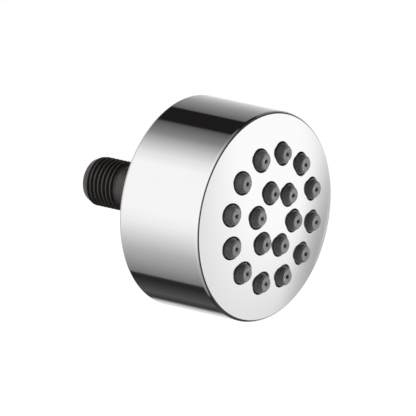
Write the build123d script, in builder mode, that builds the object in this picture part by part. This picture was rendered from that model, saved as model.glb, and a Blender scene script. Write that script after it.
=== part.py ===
from build123d import *
import os

# Shower body jet: a chrome cup with a domed spray face, fed through a threaded stub at its back.
# The spray leaves along -Y. Y = 0 is the plane where the inlet thread begins, on the thread's axis.

# Drum and face
drum_diameter = 56.0
drum_length = 26.4        # back rim to the edge of the face
dome_rise = 3.9           # middle of the face before its edge
cap_wall = 1.6
face_wall = 2.0
edge_radius = 0.6
back_edge_radius = 1.0

# Spray pattern, with angles from +X towards +Z
outer_count = 12
outer_start = 15.0
inner_count = 6
inner_start = 45.0
inner_ring_radius = 7.7

# Nozzles
nozzle_hole_diameter = 6.2
nozzle_clearance = 0.1    # round each nozzle in its hole
nozzle_reach = 1.65       # tip before the face
nozzle_collar = 0.25      # straight foot before the face
nozzle_neck_diameter = 5.3  # cone where it leaves the foot
nozzle_tip_diameter = 3.7
nozzle_tip_chamfer = 0.35
outlet_diameter = 1.05
outlet_length = 0.8
mat_thickness = 1.4
mat_clearance = 0.05      # between the mat and the parts on both its sides
seal_land = 1.8           # mat outside the outer nozzle holes
seal_bead = 0.4           # bead behind the mat's edge

# Jet plate
plate_wall = 2.2
plate_rim_length = 4.2
plate_rim_wall = 0.8      # behind the groove of the ring seal
plate_clearance = 0.1     # round the plate in its pocket
spigot_diameter = 3.0
spigot_length = 1.2
spigot_clearance = 0.1
feed_diameter = 2.0

# Ring seal of the chamber
oring_section = 1.2
oring_clearance = 0.02
groove_width = 1.7

# Rear housing
chamber_wall = 1.6        # round the plate
plate_ledge = 1.0
flange_thickness = 2.4
flange_clearance = 0.15
boss_clearance = 0.3      # between the chamber and the screw bosses
hub_diameter = 20.0
hub_drop = 0.4            # hub before the wall plane
stem_diameter = 13.0
stem_reach = 30.8         # stub end behind the wall plane
stem_root_radius = 1.0
stem_bore_diameter = 7.0
bore_lead_in = 2.0        # chamfer from the chamber into the bore

# Inlet thread, at its full diameter, and the smooth cone that leads it in
thread_diameter = 13.157
thread_length = 9.1
nose_diameter = 11.5      # at the end of the cone
nose_length = 2.3
nose_chamfer = 0.4
relief_diameter = 11.3
relief_length = 4.3
relief_chamfer = 0.6

# Housing screws
screw_count = 3
screw_start = 90.0
screw_head_diameter = 3.8
screw_head_height = 1.5
screw_head_radius = 0.5
screw_head_clearance = 0.2
screw_shank_diameter = 2.1
screw_length = 9.0
screw_clearance = 0.15    # in the flange
screw_bite = 0.02         # round the shank in its boss
screw_spare = 1.5         # pilot hole past the screw's end
boss_wall = 0.85
recess_length = 2.2
recess_width = 0.5
recess_depth = 0.8

# Wall gasket
gasket_thickness = 2.2
gasket_clearance = 0.3

# Flow washer, strainer and ring in the mouth of the stub
mouth_diameter = 8.6
mouth_clearance = 0.03
mouth_recess = 1.0
washer_thickness = 2.0
washer_dish = 0.6
washer_orifice_diameter = 2.4
screen_thickness = 0.8
screen_hole_diameter = 0.8
screen_pitch = 1.25
screen_rows = 2           # round the middle hole
screen_first_row = 6
ring_length = 1.6
ring_wall = 0.8
ring_chamfer = 0.4

# Planes along the axis
stub_end_y = thread_length + nose_length
wall_y = stub_end_y - stem_reach
rim_y = wall_y - drum_length
flange_back_y = wall_y - gasket_thickness
flange_front_y = flange_back_y - flange_thickness
hub_y = wall_y - hub_drop

# Radii from the drum's wall inwards
drum_radius = drum_diameter / 2
cap_inner_radius = drum_radius - cap_wall
flange_radius = cap_inner_radius - flange_clearance
screw_ring_radius = cap_inner_radius - screw_head_clearance - screw_head_diameter / 2
pilot_radius = screw_shank_diameter / 2 + screw_bite
boss_radius = pilot_radius + boss_wall
housing_radius = screw_ring_radius - boss_radius - boss_clearance
pocket_radius = housing_radius - chamber_wall
chamber_radius = pocket_radius - plate_ledge
plate_radius = pocket_radius - plate_clearance
groove_radius = pocket_radius - oring_section
outer_ring_radius = housing_radius - seal_land - nozzle_hole_diameter / 2

# The face is a shallow paraboloid, and the pieces behind it follow it at a depth along the axis
mat_front = face_wall + mat_clearance
mat_back = mat_front + mat_thickness
plate_front = mat_back + mat_clearance
plate_back = plate_front + plate_wall

nozzle_rings = [
    (outer_ring_radius, outer_count, outer_start),
    (inner_ring_radius, inner_count, inner_start),
]


# Place along the axis of the dome that lies depth behind the face, at a distance from the axis
def dome_y(radius, depth=0.0):
    return rim_y - dome_rise * (1 - (radius / drum_radius) ** 2) + depth


# Point of a profile on that dome
def dome_point(radius, depth=0.0):
    return (radius, dome_y(radius, depth))


# Line of a profile along that dome, from the axis outwards
def dome_line(radius, depth=0.0):
    Bezier(dome_point(0, depth), (radius / 2, dome_y(0, depth)), dome_point(radius, depth))


# Sketch plane across the axis, with its normal towards the spray
def plane_at(y):
    return Plane.XZ.offset(-y)


seat_y = dome_y(housing_radius, mat_back) + seal_bead
ledge_y = dome_y(plate_radius, plate_front) + plate_rim_length

# Chrome cup with the perforated face and the screw bosses inside
with BuildPart() as spray_cap:
    with BuildSketch(Plane.XY) as cap_profile:
        with BuildLine():
            dome_line(drum_radius)
            Polyline(
                dome_point(drum_radius),
                (drum_radius, wall_y),
                (cap_inner_radius, wall_y),
                dome_point(cap_inner_radius, face_wall),
            )
            dome_line(cap_inner_radius, face_wall)
            Line(dome_point(0, face_wall), dome_point(0))
        make_face()
        fillet(cap_profile.vertices().group_by(Axis.X)[-1].sort_by(Axis.Y)[0], edge_radius)
        fillet(cap_profile.vertices().group_by(Axis.X)[-1].sort_by(Axis.Y)[-1], back_edge_radius)
    revolve(axis=Axis.Y)
    boss_outer_radius = cap_inner_radius + cap_wall / 2 - boss_radius
    with BuildSketch(plane_at(flange_front_y)):
        with PolarLocations((screw_ring_radius + boss_outer_radius) / 2, screw_count, screw_start):
            SlotCenterToCenter(boss_outer_radius - screw_ring_radius, 2 * boss_radius)
    extrude(amount=flange_front_y - dome_y(screw_ring_radius, face_wall / 2))
    with BuildSketch(plane_at(flange_front_y)):
        with PolarLocations(screw_ring_radius, screw_count, screw_start):
            Circle(pilot_radius)
    extrude(amount=screw_length - flange_thickness + screw_spare, mode=Mode.SUBTRACT)
    for radius, count, start in nozzle_rings:
        with BuildSketch(plane_at(dome_y(0))):
            with PolarLocations(radius, count, start):
                Circle(nozzle_hole_diameter / 2)
        extrude(amount=dome_y(0) - dome_y(radius + nozzle_hole_diameter, face_wall), mode=Mode.SUBTRACT)

# One nozzle, upright on the middle of its hole in the face
with BuildPart() as nozzle:
    nozzle_root_radius = nozzle_hole_diameter / 2 - nozzle_clearance
    nozzle_neck_radius = nozzle_neck_diameter / 2
    nozzle_tip_radius = nozzle_tip_diameter / 2
    nozzle_root_depth = mat_front + mat_thickness / 2
    with BuildSketch(Plane.XZ):
        with BuildLine():
            Polyline(
                (0, -nozzle_root_depth),
                (nozzle_root_radius, -nozzle_root_depth),
                (nozzle_root_radius, nozzle_collar),
                (nozzle_neck_radius, nozzle_collar),
                (nozzle_tip_radius, nozzle_reach - nozzle_tip_chamfer),
                (nozzle_tip_radius - nozzle_tip_chamfer, nozzle_reach),
                (0, nozzle_reach),
                (0, -nozzle_root_depth),
            )
        make_face()
    revolve(axis=Axis.Z)

# Its bore: a socket for the spigot, a funnel and the outlet
with BuildPart() as nozzle_bore:
    socket_radius = spigot_diameter / 2 + spigot_clearance
    socket_depth = mat_back + mat_thickness
    outlet_radius = outlet_diameter / 2
    with BuildSketch(Plane.XZ):
        with BuildLine():
            Polyline(
                (0, -socket_depth),
                (socket_radius, -socket_depth),
                (socket_radius, 0),
                (outlet_radius, nozzle_reach - outlet_length),
                (outlet_radius, nozzle_reach + outlet_length),
                (0, nozzle_reach + outlet_length),
                (0, -socket_depth),
            )
        make_face()
    revolve(axis=Axis.Z)

# Silicone mat with all its nozzles
with BuildPart() as nozzle_mat:
    with BuildSketch(Plane.XY):
        with BuildLine():
            dome_line(housing_radius, mat_front)
            Polyline(
                dome_point(housing_radius, mat_front),
                (housing_radius, seat_y),
                (pocket_radius, seat_y),
                dome_point(pocket_radius, mat_back),
            )
            dome_line(pocket_radius, mat_back)
            Line(dome_point(0, mat_back), dome_point(0, mat_front))
        make_face()
    revolve(axis=Axis.Y)
    for radius, count, start in nozzle_rings:
        with Locations(plane_at(dome_y(radius))):
            with PolarLocations(radius, count, start):
                add(nozzle.part)
                add(nozzle_bore.part, mode=Mode.SUBTRACT)

# Plate that backs the mat and feeds each nozzle through a spigot
with BuildPart() as jet_plate:
    rim_inner_radius = groove_radius - plate_rim_wall
    rim_front_y = dome_y(plate_radius, plate_front)
    groove_front_y = (rim_front_y + ledge_y - groove_width) / 2
    with BuildSketch(Plane.XY):
        with BuildLine():
            dome_line(plate_radius, plate_front)
            Polyline(
                dome_point(plate_radius, plate_front),
                (plate_radius, groove_front_y),
                (groove_radius, groove_front_y),
                (groove_radius, groove_front_y + groove_width),
                (plate_radius, groove_front_y + groove_width),
                (plate_radius, ledge_y),
                (rim_inner_radius, ledge_y),
                dome_point(rim_inner_radius, plate_back),
            )
            dome_line(rim_inner_radius, plate_back)
            Line(dome_point(0, plate_back), dome_point(0, plate_front))
        make_face()
    revolve(axis=Axis.Y)
    for radius, count, start in nozzle_rings:
        with BuildSketch(plane_at(dome_y(radius, plate_front + plate_wall / 2))):
            with PolarLocations(radius, count, start):
                Circle(spigot_diameter / 2)
        extrude(amount=plate_wall / 2 + spigot_length)
        with BuildSketch(plane_at(dome_y(radius, plate_front) - spigot_length)):
            with PolarLocations(radius, count, start):
                Circle(feed_diameter / 2)
        extrude(amount=-(spigot_length + 2 * plate_wall), mode=Mode.SUBTRACT)

# Ring seal between the plate and the chamber
with BuildPart() as chamber_oring:
    with BuildSketch(Plane.XY):
        with Locations(((groove_radius + pocket_radius) / 2, groove_front_y + groove_width / 2)):
            Circle(oring_section / 2 - oring_clearance)
    revolve(axis=Axis.Y)

# Black housing: water chamber, back of the drum and inlet stub
mouth_depth = washer_thickness + screen_thickness + ring_length + mouth_recess
mouth_y = stub_end_y - mouth_depth
with BuildPart() as rear_housing:
    stem_radius = stem_diameter / 2
    thread_radius = thread_diameter / 2
    nose_radius = nose_diameter / 2
    relief_radius = relief_diameter / 2
    bore_radius = stem_bore_diameter / 2
    with BuildSketch(Plane.XY):
        with BuildLine():
            Polyline(
                (housing_radius, seat_y),
                (housing_radius, flange_front_y),
                (flange_radius, flange_front_y),
                (flange_radius, flange_back_y),
                (hub_diameter / 2, flange_back_y),
                (hub_diameter / 2, hub_y),
                (stem_radius + stem_root_radius, hub_y),
            )
            RadiusArc(
                (stem_radius + stem_root_radius, hub_y),
                (stem_radius, hub_y + stem_root_radius),
                stem_root_radius,
            )
            Polyline(
                (stem_radius, hub_y + stem_root_radius),
                (stem_radius, -relief_length - relief_chamfer),
                (relief_radius, -relief_length),
                (relief_radius, 0),
                (thread_radius, 0),
                (thread_radius, thread_length),
                (nose_radius, stub_end_y - nose_chamfer),
                (nose_radius - nose_chamfer, stub_end_y),
                (mouth_diameter / 2, stub_end_y),
                (mouth_diameter / 2, mouth_y),
                (bore_radius, mouth_y),
                (bore_radius, flange_front_y + bore_lead_in),
                (bore_radius + bore_lead_in, flange_front_y),
                (chamber_radius, flange_front_y),
                (chamber_radius, ledge_y),
                (pocket_radius, ledge_y),
                (pocket_radius, seat_y),
                (housing_radius, seat_y),
            )
        make_face()
    revolve(axis=Axis.Y)
    with BuildSketch(plane_at(flange_back_y)):
        with PolarLocations(screw_ring_radius, screw_count, screw_start):
            Circle(screw_shank_diameter / 2 + screw_clearance)
    extrude(amount=flange_thickness, mode=Mode.SUBTRACT)

# Pan-head screws that hold the housing to the bosses
with BuildPart() as housing_screws:
    with BuildSketch(plane_at(flange_back_y)):
        with PolarLocations(screw_ring_radius, screw_count, screw_start):
            Circle(screw_shank_diameter / 2)
    extrude(amount=screw_length)
    with BuildSketch(plane_at(flange_back_y)):
        with PolarLocations(screw_ring_radius, screw_count, screw_start):
            Circle(screw_head_diameter / 2)
    extrude(amount=-screw_head_height)
    head_edges = housing_screws.edges().filter_by(GeomType.CIRCLE).group_by(Axis.Y)[-1]
    fillet(head_edges, screw_head_radius)
    with BuildSketch(plane_at(flange_back_y + screw_head_height)):
        with PolarLocations(screw_ring_radius, screw_count, screw_start):
            Rectangle(recess_length, recess_width)
            Rectangle(recess_width, recess_length)
    extrude(amount=recess_depth, mode=Mode.SUBTRACT)

# Gasket in the back of the drum, at its squeezed thickness
with BuildPart() as wall_gasket:
    gasket_outer_radius = screw_ring_radius - screw_head_diameter / 2 - gasket_clearance
    with BuildSketch(plane_at(flange_back_y)):
        Circle(gasket_outer_radius)
        Circle(hub_diameter / 2 + gasket_clearance, mode=Mode.SUBTRACT)
    extrude(amount=-gasket_thickness)

# Rubber washer that limits the flow, dished on its inlet side
insert_radius = mouth_diameter / 2 - mouth_clearance
with BuildPart() as flow_washer:
    washer_end_y = mouth_y + washer_thickness
    with BuildSketch(Plane.XY):
        with BuildLine():
            Polyline(
                (washer_orifice_diameter / 2, mouth_y),
                (insert_radius, mouth_y),
                (insert_radius, washer_end_y),
                (insert_radius - ring_wall, washer_end_y),
                (washer_orifice_diameter / 2, washer_end_y - washer_dish),
                (washer_orifice_diameter / 2, mouth_y),
            )
        make_face()
    revolve(axis=Axis.Y)

# Strainer
with BuildPart() as inlet_screen:
    with BuildSketch(plane_at(washer_end_y)):
        Circle(insert_radius)
        Circle(screen_hole_diameter / 2, mode=Mode.SUBTRACT)
        for row in range(1, screen_rows + 1):
            with PolarLocations(row * screen_pitch, row * screen_first_row):
                Circle(screen_hole_diameter / 2, mode=Mode.SUBTRACT)
    extrude(amount=-screen_thickness)

# Ring that holds the strainer and the washer in
with BuildPart() as screen_ring:
    ring_start_y = washer_end_y + screen_thickness
    with BuildSketch(plane_at(ring_start_y)):
        Circle(insert_radius)
        Circle(insert_radius - ring_wall, mode=Mode.SUBTRACT)
    extrude(amount=-ring_length)
    end_edges = screen_ring.edges().filter_by(GeomType.CIRCLE).group_by(Axis.Y)[-1]
    chamfer(end_edges.sort_by(SortBy.RADIUS)[0], ring_chamfer)

# One file for each piece
pieces = {
    "spray_cap": spray_cap,
    "nozzle_mat": nozzle_mat,
    "jet_plate": jet_plate,
    "chamber_oring": chamber_oring,
    "rear_housing": rear_housing,
    "housing_screws": housing_screws,
    "wall_gasket": wall_gasket,
    "flow_washer": flow_washer,
    "inlet_screen": inlet_screen,
    "screen_ring": screen_ring,
}
os.makedirs("parts", exist_ok=True)
for label, piece in pieces.items():
    piece.part.label = label
    export_step(piece.part, f"parts/{label}.step")

print(f"outer ring radius {outer_ring_radius:.2f}")
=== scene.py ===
import bpy
import math
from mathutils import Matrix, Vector
from mathutils.geometry import delaunay_2d_cdt


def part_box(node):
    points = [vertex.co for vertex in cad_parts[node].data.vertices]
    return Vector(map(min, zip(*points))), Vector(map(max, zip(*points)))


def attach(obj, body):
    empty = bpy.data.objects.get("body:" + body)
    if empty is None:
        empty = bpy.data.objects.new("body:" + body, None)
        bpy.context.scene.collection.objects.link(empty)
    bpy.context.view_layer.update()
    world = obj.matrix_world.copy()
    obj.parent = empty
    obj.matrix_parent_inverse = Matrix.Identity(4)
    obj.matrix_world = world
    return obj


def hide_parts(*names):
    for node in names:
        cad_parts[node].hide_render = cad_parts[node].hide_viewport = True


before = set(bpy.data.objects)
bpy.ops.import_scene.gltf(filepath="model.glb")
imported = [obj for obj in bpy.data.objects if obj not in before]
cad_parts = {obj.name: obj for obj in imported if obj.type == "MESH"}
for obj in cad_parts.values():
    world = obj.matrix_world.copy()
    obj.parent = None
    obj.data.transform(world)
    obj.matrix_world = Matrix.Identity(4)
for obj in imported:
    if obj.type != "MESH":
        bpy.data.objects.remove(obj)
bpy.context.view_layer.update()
print("frame loaded:", ", ".join(sorted(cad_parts)))

mm = 0.001  # sizes below are in millimetres, angles in degrees
meshing = {
    "loopShare": 0.6,  # share of a fill's gap that its inner points keep from the loops
    "mergeSize": 1e-6,  # points nearer than this are one
    "pole": 0.01,  # radius at which a turned end counts as closed
}


def frontY(node):  # spray side of a solid
    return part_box(node)[0].y / mm


def backY(node):  # wall side of a solid
    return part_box(node)[1].y / mm


# sizes that more than one piece needs, read from the frame where it has them
drum = {
    "radius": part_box("spray_cap")[1].x / mm,
    "wallY": backY("spray_cap"),  # back rim, on the wall
    "apexY": frontY("spray_cap"),  # middle of the spray face
    "flangeY": frontY("wall_gasket"),  # back of the housing's flange
    "flangeThickness": 2.4,
    "domeRise": 3.9,
    "outerRing": (17.18, 12, 15.0),  # nozzle ring: radius, count, first angle
    "innerRing": (7.7, 6, 45.0),
    "screwRing": (24.3, 3, 90.0),
}


def domeY(radius, depth=0.0):  # the face is a shallow paraboloid
    return drum["apexY"] + drum["domeRise"] * (radius / drum["radius"]) ** 2 + depth


def domeTilt(x, z):  # outward normal of the face at a place
    slope = 2 * drum["domeRise"] / drum["radius"] ** 2
    return Vector((slope * x, -1, slope * z)).normalized()


def ringPlaces(radius, count, start):  # middles of a ring of holes
    angles = [math.radians(start + 360 * step / count) for step in range(count)]
    return [(radius * math.cos(a), radius * math.sin(a)) for a in angles]


def turned(centre, radius, y, outward, along):  # ring round an axis along Y
    def place(angle):
        c, s = math.cos(angle), math.sin(angle)
        return (centre[0] + radius * c, y, centre[1] + radius * s), (outward * c, along, outward * s)
    return place


def onDome(centre, radius, depth, facing):  # ring that follows the face
    def place(angle):
        x = centre[0] + radius * math.cos(angle)
        z = centre[1] + radius * math.sin(angle)
        return (x, domeY(math.hypot(x, z), depth), z), domeTilt(x, z) * -facing
    return place


def holeLip(centre, radius, lip, turn):  # step of the rounded edge of a hole in the face
    def place(angle):
        c, s = math.cos(angle), math.sin(angle)
        reach = radius + lip * (1 - math.sin(turn))
        x, z = centre[0] + reach * c, centre[1] + reach * s
        normal = domeTilt(x, z) * math.cos(turn) + Vector((-c, 0, -s)) * math.sin(turn)
        return (x, domeY(math.hypot(x, z), lip * (1 - math.cos(turn))), z), normal.normalized()
    return place


def rounded(corners, steps):  # profile rows (radius, y, normal) with the outside on the right
    rows = []
    for i, corner in enumerate(corners):
        here = Vector(corner[:2])
        come = (here - Vector(corners[i - 1][:2])).normalized() if i else None
        go = (Vector(corners[i + 1][:2]) - here).normalized() if i + 1 < len(corners) else None
        if come is None or go is None:
            along = go or come
            rows.append((here.x, here.y, along.y, -along.x))
            continue
        turn = math.atan2(come.x * go.y - come.y * go.x, come.dot(go))
        side = 1 if turn > 0 else -1  # outer corner or inner corner
        fillet = corner[2]
        out = Vector((come.y, -come.x))
        middle = here - come * fillet * math.tan(abs(turn) / 2) - out * fillet * side
        for step in range(steps + 1):
            c, s = math.cos(turn * step / steps), math.sin(turn * step / steps)
            normal = Vector((out.x * c - out.y * s, out.x * s + out.y * c))
            point = middle + normal * fillet * side
            rows.append((point.x, point.y, normal.x, normal.y))
    return rows


class Shell:  # points with their true normals, and the faces between them
    def __init__(self):
        self.points = []
        self.normals = []
        self.faces = []

    def point(self, place, normal):
        self.points.append(tuple(place))
        self.normals.append(tuple(normal))
        return len(self.points) - 1

    def ring(self, count, place):
        return [self.point(*place(2 * math.pi * step / count)) for step in range(count)]

    def skin(self, rings):  # quads from ring to ring, outside on the right
        for a, b in zip(rings, rings[1:]):
            for i in range(len(a)):
                self.faces.append((a[i], b[i], b[(i + 1) % len(b)], a[(i + 1) % len(a)]))

    def turn(self, profile, count, centre=(0, 0)):
        rings = [self.ring(count, turned(centre, *row)) for row in profile]
        self.skin(rings)
        return rings

    def fill(self, edge, holes, place, facing, gap):  # triangles between round loops
        loops = [edge] + holes
        spots, indices, lines, rounds = [], [], [], []
        for loop in loops:
            first = len(spots)
            flat = [Vector((self.points[i][0], self.points[i][2])) for i in loop]
            middle = sum(flat, Vector((0, 0))) / len(flat)
            rounds.append((middle, (flat[0] - middle).length, math.cos(math.pi / len(loop))))
            lines += [(first + i, first + (i + 1) % len(loop)) for i in range(len(loop))]
            spots += flat
            indices += loop
        outside = rounds[0]
        row = gap * math.sqrt(3) / 2
        keep = meshing["loopShare"] * gap
        count = int(outside[1] / row) + 1
        for j in range(-count, count + 1):
            for i in range(-count - 1, count + 2):
                spot = outside[0] + Vector(((i + 0.5 * (j % 2)) * gap, j * row))
                clear = all((spot - m).length > r + keep for m, r, _ in rounds[1:])
                if clear and (spot - outside[0]).length < outside[1] - keep:
                    spots.append(spot)
                    indices.append(self.point(*place(spot.x, spot.y)))
        found, _, triangles, origin, _, _ = delaunay_2d_cdt(spots, lines, [], 0, meshing["mergeSize"])
        for a, b, c in triangles:
            middle = (found[a] + found[b] + found[c]) / 3
            if any((middle - m).length < r * inner for m, r, inner in rounds[1:]):
                continue
            corners = [indices[origin[k][0]] for k in (a, b, c)]
            left = (found[b] - found[a]).cross(found[c] - found[a]) > 0
            self.faces.append(tuple(corners if left == (facing < 0) else corners[::-1]))

    def lid(self, edge, holes, y, facing, gap):  # flat fill
        self.fill(edge, holes, lambda x, z: ((x, y, z), (0, facing, 0)), facing, gap)

    def dome(self, edge, holes, depth, facing, gap):  # fill that follows the face
        def place(x, z):
            return (x, domeY(math.hypot(x, z), depth), z), domeTilt(x, z) * -facing
        self.fill(edge, holes, place, facing, gap)


def makePiece(name, shell, material, slot, *nodes):
    mesh = bpy.data.meshes.new(name)
    mesh.from_pydata([(x * mm, y * mm, z * mm) for x, y, z in shell.points], [], shell.faces, False)
    mesh.normals_split_custom_set_from_vertices(shell.normals)
    mesh.materials.append(material)
    piece = bpy.data.objects.new(name, mesh)
    bpy.context.scene.collection.objects.link(piece)
    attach(piece, "root")
    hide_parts(*nodes)
    print("piece made:", name, len(mesh.polygons), "faces")


def dressNode(node, material):  # a solid that shows as it is, with a finish of its own
    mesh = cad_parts[node].data
    mesh.materials.clear()
    mesh.materials.append(material)
    print("node dressed:", node)


# camera at the photograph's angle, with a long lens
view = {
    "azimuth": -50.9,
    "elevation": 15.76,
    "lens": 1002.0,
    "distance": 3019.0,
    "aimRight": -14.8,  # from the middle of the face's edge to the middle of the picture
    "aimUp": 2.31,
    "clipEnd": 20000.0,
}


def viewSide():  # from the drum towards the camera
    a, e = math.radians(view["azimuth"]), math.radians(view["elevation"])
    return Vector((math.sin(a) * math.cos(e), -math.cos(a) * math.cos(e), math.sin(e)))


def buildCamera():
    back = viewSide()
    right = Vector((-back.y, back.x, 0)).normalized()
    up = back.cross(right)
    aim = Vector((0, domeY(drum["radius"]), 0)) + right * view["aimRight"] + up * view["aimUp"]
    camera = bpy.data.objects.new("camera", bpy.data.cameras.new("camera"))
    camera.data.lens = view["lens"]
    camera.data.clip_end = view["clipEnd"] * mm
    camera.location = (aim + back * view["distance"]) * mm
    camera.rotation_euler = back.to_track_quat("Z", "Y").to_euler()
    bpy.context.scene.collection.objects.link(camera)
    bpy.context.scene.camera = camera
    print("camera placed")


# node helpers
def addNode(tree, kind, **values):
    node = tree.nodes.new(kind)
    for name, value in values.items():
        setattr(node, name, value)
    return node


def join(tree, source, target):  # links sockets, or sets a plain value
    if isinstance(source, bpy.types.NodeSocket):
        tree.links.new(source, target)
    else:
        target.default_value = source


def math2(tree, operation, a, b=0.0, clamp=False):
    node = addNode(tree, "ShaderNodeMath", operation=operation, use_clamp=clamp)
    join(tree, a, node.inputs[0])
    join(tree, b, node.inputs[1])
    return node.outputs[0]


def ease(tree, value, low, high, start=0.0, end=1.0, kind="SMOOTHSTEP"):
    node = addNode(tree, "ShaderNodeMapRange", interpolation_type=kind)
    for socket, source in zip(node.inputs[:5], (value, low, high, start, end)):
        join(tree, source, socket)
    return node.outputs[0]


def mixColor(tree, factor, a, b):
    node = addNode(tree, "ShaderNodeMix", data_type="RGBA")
    join(tree, factor, node.inputs["Factor"])
    join(tree, a, node.inputs[6])  # the colour sockets come after those for numbers and vectors
    join(tree, b, node.inputs[7])
    return node.outputs[2]


def mixNoise(tree, a, b, share):  # share of the first
    return math2(tree, "ADD", math2(tree, "MULTIPLY", a, share), math2(tree, "MULTIPLY", b, 1 - share))


def noise(tree, coords, scale, detail=3.0):
    node = addNode(tree, "ShaderNodeTexNoise")
    join(tree, coords, node.inputs["Vector"])
    join(tree, scale, node.inputs["Scale"])
    join(tree, detail, node.inputs["Detail"])
    return node.outputs["Fac"]


def newGroup(name, inputs, outputs):
    tree = bpy.data.node_groups.new(name, "ShaderNodeTree")
    for label, kind, value in inputs:
        socket = tree.interface.new_socket(name=label, in_out="INPUT", socket_type=kind)
        socket.default_value = value
    for label, kind in outputs:
        tree.interface.new_socket(name=label, in_out="OUTPUT", socket_type=kind)
    return tree, tree.nodes.new("NodeGroupInput"), tree.nodes.new("NodeGroupOutput")


def shadeColor(tree, given, made, cloud):  # the group's colour, lighter and darker by its spread
    shade = addNode(tree, "ShaderNodeHueSaturation")
    spread = math2(tree, "MULTIPLY", math2(tree, "SUBTRACT", cloud, 0.5), given.outputs["Spread"])
    join(tree, given.outputs["Color"], shade.inputs["Color"])
    join(tree, math2(tree, "ADD", 1.0, math2(tree, "MULTIPLY", spread, 2.0)), shade.inputs["Value"])
    join(tree, shade.outputs["Color"], made.inputs["Color"])


def spreadGloss(tree, given, made, value, reach):  # roughness between the group's two limits
    rough = ease(tree, value, *reach, given.outputs["Rough Low"], given.outputs["Rough High"], "LINEAR")
    join(tree, rough, made.inputs["Roughness"])


# moulded skin: cloudy colour, fine grain in the height and uneven gloss
mouldPattern = {
    "cloudShare": 0.7,
    "grainDetail": 2.0,
    "reach": (0.3, 0.7),  # noise values over which colour and gloss are spread
}


def buildMouldSkin():
    tree, given, made = newGroup(
        "mouldSkin",
        [
            ("Color", "NodeSocketColor", (0.5, 0.5, 0.5, 1)),
            ("Spread", "NodeSocketFloat", 0.1),
            ("Cloud Scale", "NodeSocketFloat", 120.0),
            ("Grain Scale", "NodeSocketFloat", 4000.0),
            ("Rough Low", "NodeSocketFloat", 0.3),
            ("Rough High", "NodeSocketFloat", 0.5),
        ],
        [("Color", "NodeSocketColor"), ("Roughness", "NodeSocketFloat"), ("Height", "NodeSocketFloat")],
    )
    coords = addNode(tree, "ShaderNodeTexCoord").outputs["Object"]
    cloud = noise(tree, coords, given.outputs["Cloud Scale"])
    grain = noise(tree, coords, given.outputs["Grain Scale"], mouldPattern["grainDetail"])
    blend = mixNoise(tree, cloud, grain, mouldPattern["cloudShare"])
    shadeColor(tree, given, made, ease(tree, blend, *mouldPattern["reach"], kind="LINEAR"))
    spreadGloss(tree, given, made, grain, mouldPattern["reach"])
    join(tree, blend, made.inputs["Height"])
    return tree


# polished or drawn metal: faint clouds in the colour, hair-fine lines in the gloss
metalPattern = {
    "cloudShare": 0.5,
    "lineDetail": 4.0,
    "reach": (0.35, 0.65),
}


def buildMetalSkin():
    tree, given, made = newGroup(
        "metalSkin",
        [
            ("Color", "NodeSocketColor", (0.8, 0.8, 0.8, 1)),
            ("Spread", "NodeSocketFloat", 0.02),
            ("Cloud Scale", "NodeSocketFloat", 60.0),
            ("Line Scale", "NodeSocketFloat", 900.0),
            ("Stretch", "NodeSocketVector", (1.0, 0.05, 1.0)),
            ("Rough Low", "NodeSocketFloat", 0.02),
            ("Rough High", "NodeSocketFloat", 0.05),
        ],
        [("Color", "NodeSocketColor"), ("Roughness", "NodeSocketFloat"), ("Height", "NodeSocketFloat")],
    )
    coords = addNode(tree, "ShaderNodeTexCoord").outputs["Object"]
    cloud = noise(tree, coords, given.outputs["Cloud Scale"])
    stretched = addNode(tree, "ShaderNodeVectorMath", operation="MULTIPLY")
    join(tree, coords, stretched.inputs[0])
    join(tree, given.outputs["Stretch"], stretched.inputs[1])
    lines = noise(tree, stretched.outputs[0], given.outputs["Line Scale"], metalPattern["lineDetail"])
    shadeColor(tree, given, made, cloud)
    mixed = mixNoise(tree, cloud, lines, metalPattern["cloudShare"])
    spreadGloss(tree, given, made, mixed, metalPattern["reach"])
    join(tree, lines, made.inputs["Height"])
    return tree


mouldSkin = buildMouldSkin()
metalSkin = buildMetalSkin()


def newMaterial(name, group, look):  # look: group values by socket name, then shader values
    material = bpy.data.materials.new(name)
    material.use_nodes = True
    tree = material.node_tree
    shader = tree.nodes["Principled BSDF"]
    skin = addNode(tree, "ShaderNodeGroup", node_tree=group)
    for label, value in look["skin"].items():
        skin.inputs[label].default_value = value
    for label, value in look["shader"].items():
        shader.inputs[label].default_value = value
    bump = addNode(tree, "ShaderNodeBump")
    bump.inputs["Strength"].default_value = look["bump"]
    bump.inputs["Distance"].default_value = look["depth"] * mm
    join(tree, skin.outputs["Color"], shader.inputs["Base Color"])
    join(tree, skin.outputs["Roughness"], shader.inputs["Roughness"])
    join(tree, skin.outputs["Height"], bump.inputs["Height"])
    join(tree, bump.outputs["Normal"], shader.inputs["Normal"])
    return material


# chrome cup with the perforated spray face
capShape = {
    "segments": 288,
    "wall": 1.6,
    "faceWall": 2.0,
    "edgeRadius": 0.9,
    "backRadius": 1.0,
    "insideRadius": 0.3,
    "roundSteps": 8,  # of each rounded corner
    "hole": 3.1,  # radius of a nozzle hole
    "holeLip": 0.18,
    "holeSegments": 56,
    "lipSteps": 4,
    "fillGap": 1.1,
    "boss": 1.92,  # radius of a screw boss, and of its pilot hole
    "pilot": 1.07,
    "pilotDepth": 8.1,
    "bossRound": 0.1,
    "bossSteps": 2,
    "bossSegments": 32,
}
capLook = {
    "skin": {
        "Color": (0.905, 0.904, 0.917, 1),
        "Spread": 0.015,
        "Cloud Scale": 90.0,
        "Line Scale": 1500.0,
        "Stretch": (1.0, 1.0, 1.0),
        "Rough Low": 0.02,
        "Rough High": 0.045,
    },
    "shader": {"Metallic": 1.0},
    "bump": 0.02,
    "depth": 0.01,
}


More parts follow.
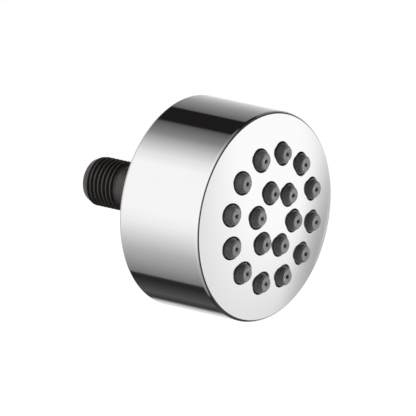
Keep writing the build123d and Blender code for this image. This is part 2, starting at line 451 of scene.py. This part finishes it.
def buildSprayCap():
    s = capShape
    shell = Shell()
    radius, inner = drum["radius"], drum["radius"] - s["wall"]
    lead = 2 * s["edgeRadius"]  # stretch of the face that belongs to the turned profile
    profile = rounded([
        (radius - lead, domeY(radius - lead)),
        (radius, domeY(radius), s["edgeRadius"]),
        (radius, drum["wallY"], s["backRadius"]),
        (inner, drum["wallY"], s["insideRadius"]),
        (inner, domeY(inner, s["faceWall"]), s["insideRadius"]),
        (inner - lead, domeY(inner - lead, s["faceWall"])),
    ], s["roundSteps"])
    rings = shell.turn(profile, s["segments"])
    fronts, backs = [], []
    for centre in ringPlaces(*drum["outerRing"]) + ringPlaces(*drum["innerRing"]):
        places = [onDome(centre, s["hole"], s["faceWall"], 1)]
        for step in range(s["lipSteps"], -1, -1):
            places.append(holeLip(centre, s["hole"], s["holeLip"], math.pi / 2 * step / s["lipSteps"]))
        loops = [shell.ring(s["holeSegments"], place) for place in places]
        shell.skin(loops)
        backs.append(loops[0])
        fronts.append(loops[-1])
    shell.dome(rings[0], fronts, 0, -1, s["fillGap"])
    shell.dome(rings[-1], backs, s["faceWall"], 1, s["fillGap"])
    back = drum["flangeY"] - drum["flangeThickness"]
    front = domeY(drum["screwRing"][0], s["faceWall"] / 2)
    bottom = back - s["pilotDepth"]
    for centre in ringPlaces(*drum["screwRing"]):  # bosses inside, each with a pilot hole
        boss = rounded([
            (meshing["pole"], bottom),
            (s["pilot"], bottom, s["bossRound"]),
            (s["pilot"], back, s["bossRound"]),
            (s["boss"], back, s["bossRound"]),
            (s["boss"], front, s["bossRound"]),
            (meshing["pole"], front),
        ], s["bossSteps"])
        shell.turn(boss[::-1], s["bossSegments"], centre)
    return shell


# silicone mat with its eighteen nozzles
matShape = {
    "segments": 160,
    "edge": 22.08,
    "pocket": 20.48,
    "front": 2.05,  # depth behind the face
    "back": 3.45,
    "bead": 0.4,
    "beadRound": 0.3,
    "pocketRound": 0.2,
    "lead": 1.0,  # stretch of each side that belongs to the turned rim
    "rimSteps": 3,
    "root": 2.75,  # foot of a nozzle, the cone on it and its tip
    "rootLift": 0.05,  # top of the foot before the face
    "rootRound": 0.12,
    "rootLead": 0.3,
    "neck": 2.55,
    "neckRound": 0.15,
    "tip": 1.8,
    "shoulder": 2.28,
    "shoulderDrop": 0.5,
    "collar": 0.3,  # neck before the face
    "reach": 1.65,  # tip before it
    "tipRound": 0.3,
    "outlet": 0.525,
    "outletLip": 0.12,
    "outletLength": 0.8,
    "dimple": 0.1,
    "dimpleWidth": 0.36,
    "dimpleRound": 0.3,
    "socket": 1.6,
    "socketRound": 0.15,
    "throatRound": 0.1,
    "nozzleSteps": 5,
    "nozzleSegments": 48,
    "fillGap": 1.3,
}
matLook = {
    "skin": {
        "Color": (0.2, 0.2, 0.205, 1),
        "Spread": 0.12,
        "Cloud Scale": 350.0,
        "Grain Scale": 6000.0,
        "Rough Low": 0.42,
        "Rough High": 0.58,
    },
    "shader": {"Specular IOR Level": 0.3},
    "bump": 0.12,
    "depth": 0.03,
}


def nozzleProfile(y):  # from the socket through the bore, over the tip and down the cone
    s = matShape
    tipY = y - s["reach"]
    return rounded([
        (s["socket"], y + s["front"]),
        (s["socket"], y, s["socketRound"]),
        (s["outlet"], tipY + s["outletLength"], s["throatRound"]),
        (s["outlet"], tipY + s["dimple"], s["outletLip"]),
        (s["outlet"] + s["dimpleWidth"], tipY, s["dimpleRound"]),
        (s["tip"], tipY, s["tipRound"]),
        (s["shoulder"], tipY + s["shoulderDrop"], s["tipRound"]),
        (s["neck"], y - s["collar"], s["neckRound"]),
        (s["root"], y - s["rootLift"], s["rootRound"]),
        (s["root"], y + s["front"] - s["rootLead"]),
    ], s["nozzleSteps"])


def buildNozzleMat():
    s = matShape
    shell = Shell()
    seat = domeY(s["edge"], s["back"]) + s["bead"]
    edgeLead, pocketLead = s["edge"] - s["lead"], s["pocket"] - s["lead"]
    rim = rounded([
        (edgeLead, domeY(edgeLead, s["front"])),
        (s["edge"], domeY(s["edge"], s["front"]), s["beadRound"]),
        (s["edge"], seat, s["beadRound"]),
        (s["pocket"], seat, s["beadRound"]),
        (s["pocket"], domeY(s["pocket"], s["back"]), s["pocketRound"]),
        (pocketLead, domeY(pocketLead, s["back"])),
    ], s["rimSteps"])
    rings = shell.turn(rim, s["segments"])
    fronts, backs = [], []
    for ring in (drum["outerRing"], drum["innerRing"]):
        for centre in ringPlaces(*ring):
            back = shell.ring(s["nozzleSegments"], onDome(centre, s["socket"], s["back"], 1))
            loops = shell.turn(nozzleProfile(domeY(ring[0])), s["nozzleSegments"], centre)
            front = shell.ring(s["nozzleSegments"], onDome(centre, s["root"], s["front"], -1))
            shell.skin([back, loops[0]])
            shell.skin([loops[-1], front])
            backs.append(back)
            fronts.append(front)
    shell.dome(rings[0], fronts, s["front"], -1, s["fillGap"])
    shell.dome(rings[-1], backs, s["back"], 1, s["fillGap"])
    return shell


# black rear housing with the threaded stub
housingShape = {
    "segments": 192,
    "round": 0.2,  # small rounding of moulded corners
    "outer": 22.08,
    "pocket": 20.48,
    "chamber": 19.48,
    "flange": 26.25,
    "flangeLead": 0.5,  # stretch of the flange that belongs to each turned profile
    "screwHole": 1.2,
    "holeSegments": 24,
    "hub": 10.0,
    "hubLead": 1.0,
    "hubDrop": 0.4,
    "stem": 6.5,
    "stemRoot": 1.0,
    "relief": 5.65,
    "reliefLength": 4.3,
    "reliefChamfer": 0.6,
    "bore": 3.5,
    "leadIn": 2.0,
    "mouth": 4.3,
    "nose": 5.58,  # at the end of the cone that leads the thread in
    "noseRound": 0.7,
    "outsideSteps": 5,  # of each rounded corner
    "insideSteps": 4,
    "fillGap": 1.6,
}
threadShape = {
    "crest": 6.5785,
    "root": 5.72,
    "pitch": 1.337,
    "rows": 24,  # in one turn
    "start": 0.4,  # where the first turn leaves the relief
    "rise": 1.5,  # how steeply it does
    "length": 9.1,
    "runOut": 0.6,  # into the cone
    "flatness": 1.9,  # of crests and grooves
    "softness": 5,
    "endSlack": 0.01,  # rows this near to an end join its plain ring
    "spareTurns": 3,  # rows wound past the ends, which those rings cut off
}
stubEnd = backY("rear_housing")
housingLook = {
    "skin": {
        "Color": (0.044, 0.035, 0.032, 1),
        "Spread": 0.15,
        "Cloud Scale": 200.0,
        "Grain Scale": 3500.0,
        "Rough Low": 0.28,
        "Rough High": 0.42,
    },
    "shader": {"Specular IOR Level": 0.62},
    "bump": 0.15,
    "depth": 0.02,
}


def coneRadius(y):  # full over the thread, then tapering to the stub's end
    t = threadShape
    along = max(y - t["length"], 0) / (stubEnd - t["length"])
    return t["crest"] + (housingShape["nose"] - t["crest"]) * along


def threadRadius(phase, y):  # rounded turns that rise from the relief and run out into the cone
    t = threadShape
    wave = t["flatness"] * (1 - 4 * abs(phase - 0.5))
    wave /= (1 + abs(wave) ** t["softness"]) ** (1 / t["softness"])
    middle, half = (t["crest"] + t["root"]) / 2, (t["crest"] - t["root"]) / 2
    turn = min(middle + half * wave, housingShape["relief"] + max(y - t["start"], 0) * t["rise"])
    out = min(max((y - t["length"]) / t["runOut"] / 2 + 0.5, 0), 1)
    return turn + (coneRadius(y) - turn) * out * out * (3 - 2 * out)  # a smooth step


def buildThread(shell, first, last):  # rows wind with the right-hand turns, between two plain rings
    t = threadShape
    count = len(first)
    end = t["length"] + t["runOut"]
    rowCount = t["rows"] * (int(end / t["pitch"]) + t["spareTurns"])

    def spot(row, column):
        y = t["pitch"] * (row / t["rows"] - column / count)
        if y <= t["endSlack"]:
            return first[column]
        if y >= end - t["endSlack"]:
            return last[column]
        angle = 2 * math.pi * column / count
        radius = threadRadius(row % t["rows"] / t["rows"], y)
        step = t["pitch"] / t["rows"]
        slope = (
            threadRadius((row + 0.5) % t["rows"] / t["rows"], y + step / 2)
            - threadRadius((row - 0.5) % t["rows"] / t["rows"], y - step / 2)
        ) / step
        normal = Vector((math.cos(angle), -slope, math.sin(angle))).normalized()
        return shell.point((radius * math.cos(angle), y, radius * math.sin(angle)), normal)

    grid = [[spot(row, column) for column in range(count)] for row in range(rowCount)]
    for row in range(rowCount - 1):
        for column in range(count):
            ahead = row if column + 1 < count else row - t["rows"]  # the seam meets the turn before
            if ahead < 0:
                continue
            beside = (column + 1) % count
            corners = [grid[row][column], grid[row + 1][column]]
            corners += [grid[ahead + 1][beside], grid[ahead][beside]]
            face = list(dict.fromkeys(corners))
            if len(face) > 2:
                shell.faces.append(tuple(face))


def buildRearHousing():
    s = housingShape
    shell = Shell()
    soft = s["round"]
    flangeBack, flangeFront = drum["flangeY"], drum["flangeY"] - drum["flangeThickness"]
    hub = drum["wallY"] - s["hubDrop"]
    seat, ledge, mouth = backY("nozzle_mat"), backY("jet_plate"), frontY("flow_washer")
    threadEnd = threadShape["length"] + threadShape["runOut"]
    back = rounded([
        (s["hub"] + s["hubLead"], flangeBack),
        (s["hub"], flangeBack, soft),
        (s["hub"], hub, soft),
        (s["stem"], hub, s["stemRoot"]),
        (s["stem"], -s["reliefLength"] - s["reliefChamfer"], soft),
        (s["relief"], -s["reliefLength"], soft),
        (s["relief"], 0),
    ], s["outsideSteps"])
    front = rounded([
        (coneRadius(threadEnd), threadEnd),
        (s["nose"], stubEnd, s["noseRound"]),
        (s["mouth"], stubEnd, soft),
        (s["mouth"], mouth, soft),
        (s["bore"], mouth, soft),
        (s["bore"], flangeFront + s["leadIn"], soft),
        (s["bore"] + s["leadIn"], flangeFront, soft),
        (s["chamber"], flangeFront, soft),
        (s["chamber"], ledge, soft),
        (s["pocket"], ledge, soft),
        (s["pocket"], seat, soft),
        (s["outer"], seat, soft),
        (s["outer"], flangeFront, soft),
        (s["outer"] + s["flangeLead"], flangeFront),
    ], s["insideSteps"])
    edge = rounded([
        (s["flange"] - s["flangeLead"], flangeFront),
        (s["flange"], flangeFront, soft),
        (s["flange"], flangeBack, soft),
        (s["flange"] - s["flangeLead"], flangeBack),
    ], s["outsideSteps"])
    backRings = shell.turn(back, s["segments"])
    frontRings = shell.turn(front, s["segments"])
    edgeRings = shell.turn(edge, s["segments"])
    buildThread(shell, backRings[-1], frontRings[0])
    holesBack, holesFront = [], []
    for centre in ringPlaces(*drum["screwRing"]):
        wall = [(s["screwHole"], flangeBack, -1, 0), (s["screwHole"], flangeFront, -1, 0)]
        loops = shell.turn(wall, s["holeSegments"], centre)
        holesBack.append(loops[0])
        holesFront.append(loops[1])
    shell.lid(edgeRings[-1], [backRings[0]] + holesBack, flangeBack, 1, s["fillGap"])
    shell.lid(edgeRings[0], [frontRings[-1]] + holesFront, flangeFront, -1, s["fillGap"])
    return shell


# small pieces that keep their solids
gasketLook = {
    "skin": {
        "Color": (0.055, 0.055, 0.058, 1),
        "Spread": 0.2,
        "Cloud Scale": 300.0,
        "Grain Scale": 2500.0,
        "Rough Low": 0.6,
        "Rough High": 0.8,
    },
    "shader": {},
    "bump": 0.4,
    "depth": 0.08,
}
screwLook = {
    "skin": {
        "Color": (0.62, 0.61, 0.59, 1),
        "Spread": 0.06,
        "Cloud Scale": 400.0,
        "Line Scale": 3000.0,
        "Stretch": (1.0, 0.1, 1.0),
        "Rough Low": 0.2,
        "Rough High": 0.36,
    },
    "shader": {"Metallic": 1.0},
    "bump": 0.1,
    "depth": 0.02,
}
screenLook = {
    "skin": {
        "Color": (0.6, 0.6, 0.58, 1),
        "Spread": 0.08,
        "Cloud Scale": 500.0,
        "Line Scale": 2500.0,
        "Stretch": (1.0, 1.0, 0.06),
        "Rough Low": 0.22,
        "Rough High": 0.4,
    },
    "shader": {"Metallic": 1.0},
    "bump": 0.1,
    "depth": 0.02,
}
ringLook = {
    "skin": {
        "Color": (0.55, 0.55, 0.53, 1),
        "Spread": 0.05,
        "Cloud Scale": 300.0,
        "Grain Scale": 3000.0,
        "Rough Low": 0.35,
        "Rough High": 0.5,
    },
    "shader": {},
    "bump": 0.1,
    "depth": 0.03,
}
plateLook = {
    "skin": {
        "Color": (0.72, 0.72, 0.7, 1),
        "Spread": 0.04,
        "Cloud Scale": 150.0,
        "Grain Scale": 3000.0,
        "Rough Low": 0.35,
        "Rough High": 0.5,
    },
    "shader": {},
    "bump": 0.1,
    "depth": 0.03,
}
sealLook = {  # of the ring seal and the flow washer
    "skin": {
        "Color": (0.03, 0.03, 0.03, 1),
        "Spread": 0.15,
        "Cloud Scale": 300.0,
        "Grain Scale": 5000.0,
        "Rough Low": 0.35,
        "Rough High": 0.55,
    },
    "shader": {},
    "bump": 0.1,
    "depth": 0.02,
}


def dressSmallPieces():
    dressNode("wall_gasket", newMaterial("gasketRubber", mouldSkin, gasketLook))
    dressNode("housing_screws", newMaterial("screwSteel", metalSkin, screwLook))
    dressNode("inlet_screen", newMaterial("strainerSteel", metalSkin, screenLook))
    dressNode("screen_ring", newMaterial("paleMoulding", mouldSkin, ringLook))
    dressNode("jet_plate", newMaterial("plateMoulding", mouldSkin, plateLook))
    dressNode("chamber_oring", newMaterial("sealRubber", mouldSkin, sealLook))
    dressNode("flow_washer", newMaterial("washerRubber", mouldSkin, sealLook))


# studio: soft lamps for the rubber and plastic, and cards that the chrome mirrors
studio = {
    "ambient": 0.12,
    "floorY": -250.0,
    "floorSize": 6000.0,
    "floorGlow": 0.8,  # seen by the camera alone
    "floorColor": (0.9, 0.9, 0.9, 1),
    "floorRoughness": 0.9,
    "frontCard": (0.75, -0.65, -0.05),  # towards the card that the spray face mirrors
    "frontCardEdge": (38.0, 11.0),  # degrees from its middle, faded and full
    "frontCardLight": 0.985,
    "frontGrey": 0.73,  # round that card
    "frontDark": 0.05,  # frame round the part of the front that the face mirrors to the camera
    "frontFrame": (15.9, 17.6, 36.0, 53.0),  # tilts of the face's rounded edge where it starts and ends
    "frontFade": (-0.04, -0.16),  # where the front takes over from the cards round the drum, along Y
    "frontShade": (0.914, -0.148, -0.376),  # towards the gap at the card's right
    "frontShadeEdge": (1.0, 18.0),  # degrees from its middle, full and faded
    "frontShadeDepth": 0.44,
    "backGrey": 0.56,  # straight behind the drum
    "backFade": (0.7, 0.88),  # where it takes over, along Y
    "mirrorGain": 1.08,  # against what the plating swallows
    "gapTint": (1.09, 0.97, 0.98),  # the dark gaps are a little brown
}
roundCards = {  # cards round the drum: angle from its right side over its top, and brightness
    "leftCard": [(-180, 0.935), (-166, 0.86), (-135, 0.445), (-102, 0.18)],
    "lowGap": [(-99.5, 0.021), (-93, 0.021)],
    "lowStrip": [(-69, 0.08), (-58, 0.038), (-54, 0.045)],
    "rightCard": [(-42, 0.63), (-20, 0.83), (-8, 0.776), (1, 0.6), (25, 0.31), (48.5, 0.127)],
    "topGap": [(50.5, 0.011), (73.5, 0.011)],
    "topCard": [(76.5, 0.098), (92, 0.23), (118, 0.78), (130, 0.93), (180, 0.935)],
}


def buildStudio():
    world = bpy.data.worlds.new("studio")
    world.use_nodes = True
    bpy.context.scene.world = world
    tree = world.node_tree
    tree.nodes.clear()
    direction = addNode(tree, "ShaderNodeTexCoord").outputs["Generated"]
    split = addNode(tree, "ShaderNodeSeparateXYZ")
    join(tree, direction, split.inputs[0])
    x, y, z = split.outputs
    angle = math2(tree, "ARCTAN2", z, x)
    ramp = addNode(tree, "ShaderNodeValToRGB")
    join(tree, ease(tree, angle, -math.pi, math.pi, kind="LINEAR"), ramp.inputs[0])
    stops = ramp.color_ramp.elements
    placed = [(name, *stop) for name, card in roundCards.items() for stop in card]
    while len(stops) < len(placed):
        stops.new(0.5)  # placed just below
    for stop, (name, degrees, light) in zip(stops, placed):
        tint = studio["gapTint"] if name.endswith("Gap") else (1, 1, 1)
        stop.position = (degrees + 180) / 360
        stop.color = [light * part for part in tint] + [1]

    def spot(towards, edge):  # smooth round patch, by the angle from its middle
        facing = addNode(tree, "ShaderNodeVectorMath", operation="DOT_PRODUCT")
        join(tree, direction, facing.inputs[0])
        join(tree, Vector(towards).normalized(), facing.inputs[1])
        away = math2(tree, "ARCCOSINE", math2(tree, "MINIMUM", facing.outputs["Value"], 1.0))
        return ease(tree, away, math.radians(edge[0]), math.radians(edge[1]))

    def blend(mask, a, b):
        return ease(tree, mask, 0.0, 1.0, a, b, "LINEAR")

    halfway = addNode(tree, "ShaderNodeVectorMath", operation="ADD")
    join(tree, direction, halfway.inputs[0])
    join(tree, viewSide(), halfway.inputs[1])
    tilt = addNode(tree, "ShaderNodeVectorMath", operation="NORMALIZE")
    join(tree, halfway.outputs[0], tilt.inputs[0])
    tilted = addNode(tree, "ShaderNodeSeparateXYZ")
    join(tree, tilt.outputs[0], tilted.inputs[0])
    steps = [-math.cos(math.radians(degrees)) for degrees in studio["frontFrame"]]
    faceEdge = ease(tree, tilted.outputs["Y"], steps[1], steps[0])
    frameEdge = ease(tree, tilted.outputs["Y"], steps[3], steps[2])
    ahead = math2(tree, "MULTIPLY", frameEdge, ease(tree, y, *studio["frontFade"]))
    card = spot(studio["frontCard"], studio["frontCardEdge"])
    lit = blend(card, studio["frontGrey"], studio["frontCardLight"])
    beside = blend(spot(studio["frontShade"], studio["frontShadeEdge"]), 1 - studio["frontShadeDepth"], 1.0)
    front = blend(faceEdge, studio["frontDark"], math2(tree, "MULTIPLY", lit, beside))
    around = mixColor(tree, ahead, ramp.outputs["Color"], front)
    behindMask = ease(tree, y, *studio["backFade"])
    mirrored = mixColor(tree, behindMask, around, [studio["backGrey"]] * 3 + [1])
    shown = addNode(tree, "ShaderNodeBackground")
    join(tree, mirrored, shown.inputs["Color"])
    shown.inputs["Strength"].default_value = studio["mirrorGain"]
    soft = addNode(tree, "ShaderNodeBackground")
    soft.inputs["Strength"].default_value = studio["ambient"]
    plain = addNode(tree, "ShaderNodeBackground")
    for background in (soft, plain):
        background.inputs["Color"].default_value = (1, 1, 1, 1)
    path = addNode(tree, "ShaderNodeLightPath")
    glossy = addNode(tree, "ShaderNodeMixShader")
    straight = math2(tree, "SUBTRACT", path.outputs["Is Glossy Ray"], path.outputs["Diffuse Depth"], True)
    join(tree, straight, glossy.inputs[0])  # the chrome throws no light of the cards on the rubber
    join(tree, soft.outputs[0], glossy.inputs[1])
    join(tree, shown.outputs[0], glossy.inputs[2])
    seen = addNode(tree, "ShaderNodeMixShader")
    backdrop = math2(tree, "MAXIMUM", path.outputs["Is Camera Ray"], path.outputs["Is Transmission Ray"])
    join(tree, backdrop, seen.inputs[0])  # white behind the part
    join(tree, glossy.outputs[0], seen.inputs[1])
    join(tree, plain.outputs[0], seen.inputs[2])
    join(tree, seen.outputs[0], addNode(tree, "ShaderNodeOutputWorld").inputs["Surface"])
    print("studio cards set")


lamps = {  # towards the lamp from the drum, distance, width, and how bright a white facing it gets
    "keyLamp": ((0.74, -0.66, -0.12), 900, 300, 1.25),
    "sideLamp": ((-0.75, 0.35, 0.55), 900, 500, 0.75),
}


def buildLamps():
    for name, (towards, distance, width, light) in lamps.items():
        lamp = bpy.data.lights.new(name, "AREA")
        lamp.shape = "DISK"
        lamp.size = width * mm
        lamp.energy = light * math.pi ** 2 * (distance * mm) ** 2  # watts for that brightness
        item = bpy.data.objects.new(name, lamp)
        heading = Vector(towards).normalized()
        item.location = heading * distance * mm
        item.rotation_euler = heading.to_track_quat("Z", "Y").to_euler()
        item.visible_camera = False
        item.visible_glossy = False
        bpy.context.scene.collection.objects.link(item)
    print("lamps set")


def buildFloor():
    material = bpy.data.materials.new("paleFloor")
    material.use_nodes = True
    tree = material.node_tree
    shader = tree.nodes["Principled BSDF"]
    shader.inputs["Base Color"].default_value = studio["floorColor"]
    shader.inputs["Roughness"].default_value = studio["floorRoughness"]
    shader.inputs["Emission Color"].default_value = (1, 1, 1, 1)
    path = addNode(tree, "ShaderNodeLightPath")
    glow = math2(tree, "MULTIPLY", path.outputs["Is Camera Ray"], studio["floorGlow"])
    join(tree, glow, shader.inputs["Emission Strength"])
    half = studio["floorSize"] / 2 * mm
    mesh = bpy.data.meshes.new("floor")
    corners = [(-half, -half, 0), (half, -half, 0), (half, half, 0), (-half, half, 0)]
    mesh.from_pydata(corners, [], [(0, 1, 2, 3)])
    mesh.materials.append(material)
    floor = bpy.data.objects.new("floor", mesh)
    floor.location = (0, 0, studio["floorY"] * mm)
    floor.visible_glossy = False
    bpy.context.scene.collection.objects.link(floor)
    print("floor laid")


buildCamera()
chromePlate = newMaterial("chromePlate", metalSkin, capLook)
nozzleRubber = newMaterial("nozzleRubber", mouldSkin, matLook)
blackMoulding = newMaterial("blackMoulding", mouldSkin, housingLook)
makePiece("sprayCap", buildSprayCap(), chromePlate, "cap_chrome", "spray_cap")
makePiece("nozzleMat", buildNozzleMat(), nozzleRubber, "nozzle_silicone", "nozzle_mat")
makePiece("rearHousing", buildRearHousing(), blackMoulding, "housing_plastic", "rear_housing")
dressSmallPieces()
buildStudio()
buildLamps()
buildFloor()

bpy.context.scene.view_settings.view_transform = "Standard"
